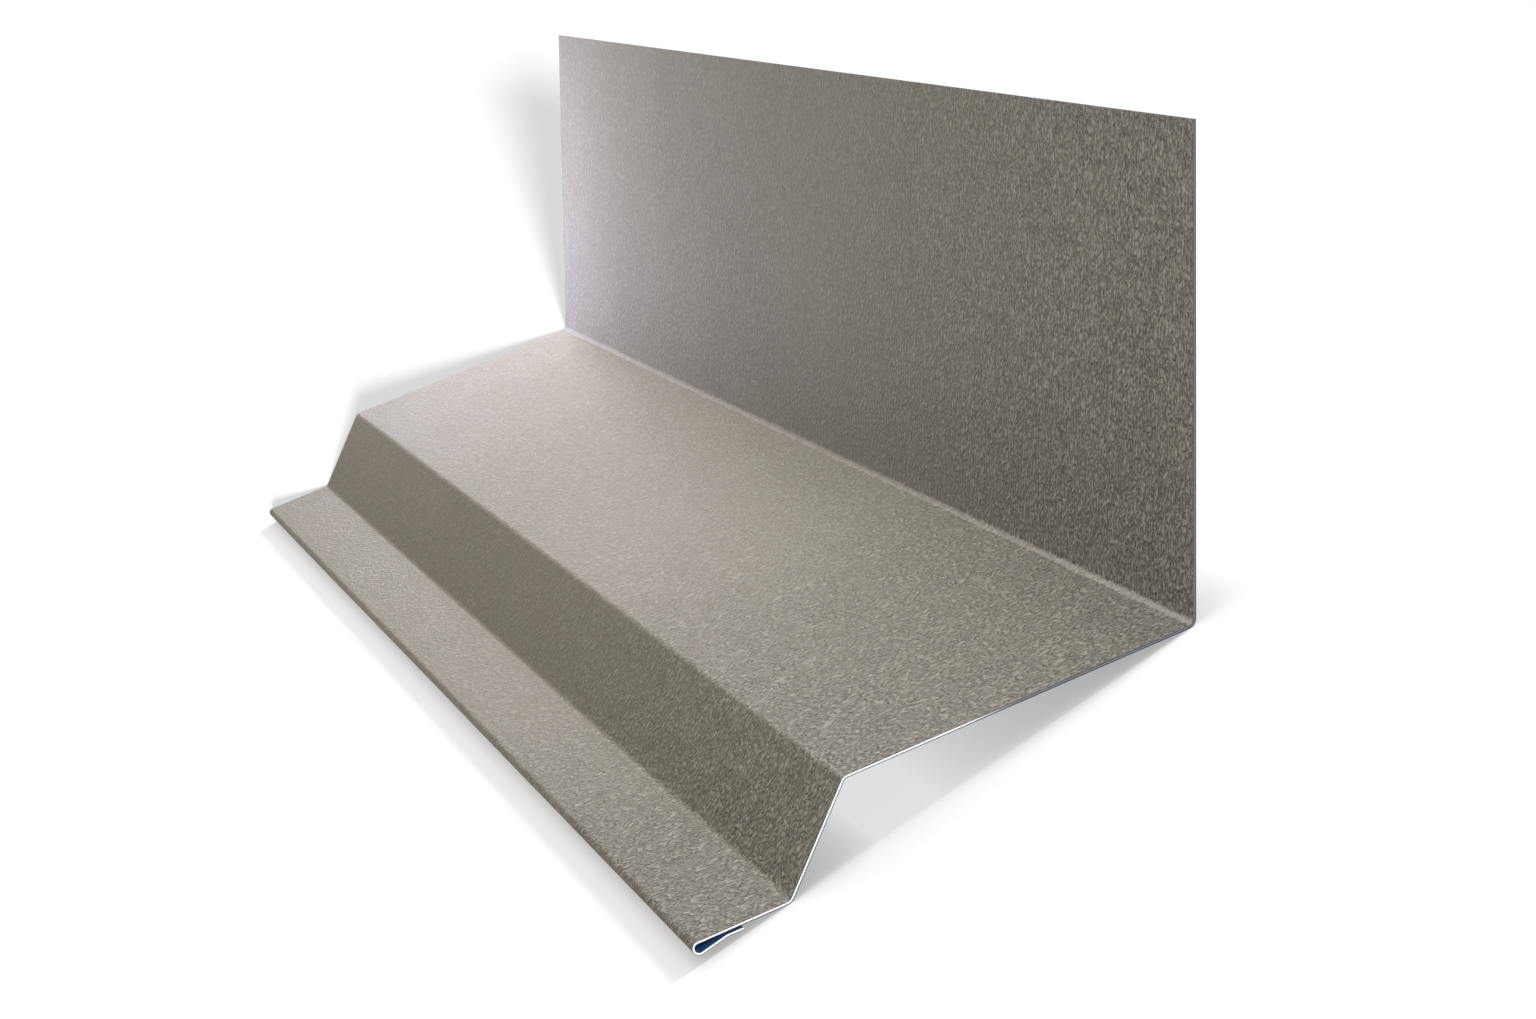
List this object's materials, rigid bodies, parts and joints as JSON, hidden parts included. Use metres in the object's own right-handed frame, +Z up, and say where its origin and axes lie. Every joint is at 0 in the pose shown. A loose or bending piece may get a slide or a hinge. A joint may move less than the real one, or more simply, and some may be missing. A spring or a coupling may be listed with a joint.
{
  "type": "endwall flashing",
  "caption": "Brake-formed painted sheet-metal strip that covers the joint between the upper end of a sloping roof and a wall, with a stepped front and a hemmed edge.",
  "frame": {"origin": "centre of the bounding box at the floor that the flashing rests on", "axes": "+X along the length of the flashing, +Y towards the wall leg, -Y towards the hemmed front edge, +Z up"},
  "size_m": [0.6096, 0.1732, 0.0878],
  "materials": {
    "painted_steel": "wrinkle-textured taupe coil coating on the weather face, dark wash coat on the back, bare bright metal at the cut ends"
  },
  "bodies": {
    "root": {"flashing_sheet": "painted_steel"}
  },
  "joints": []
}
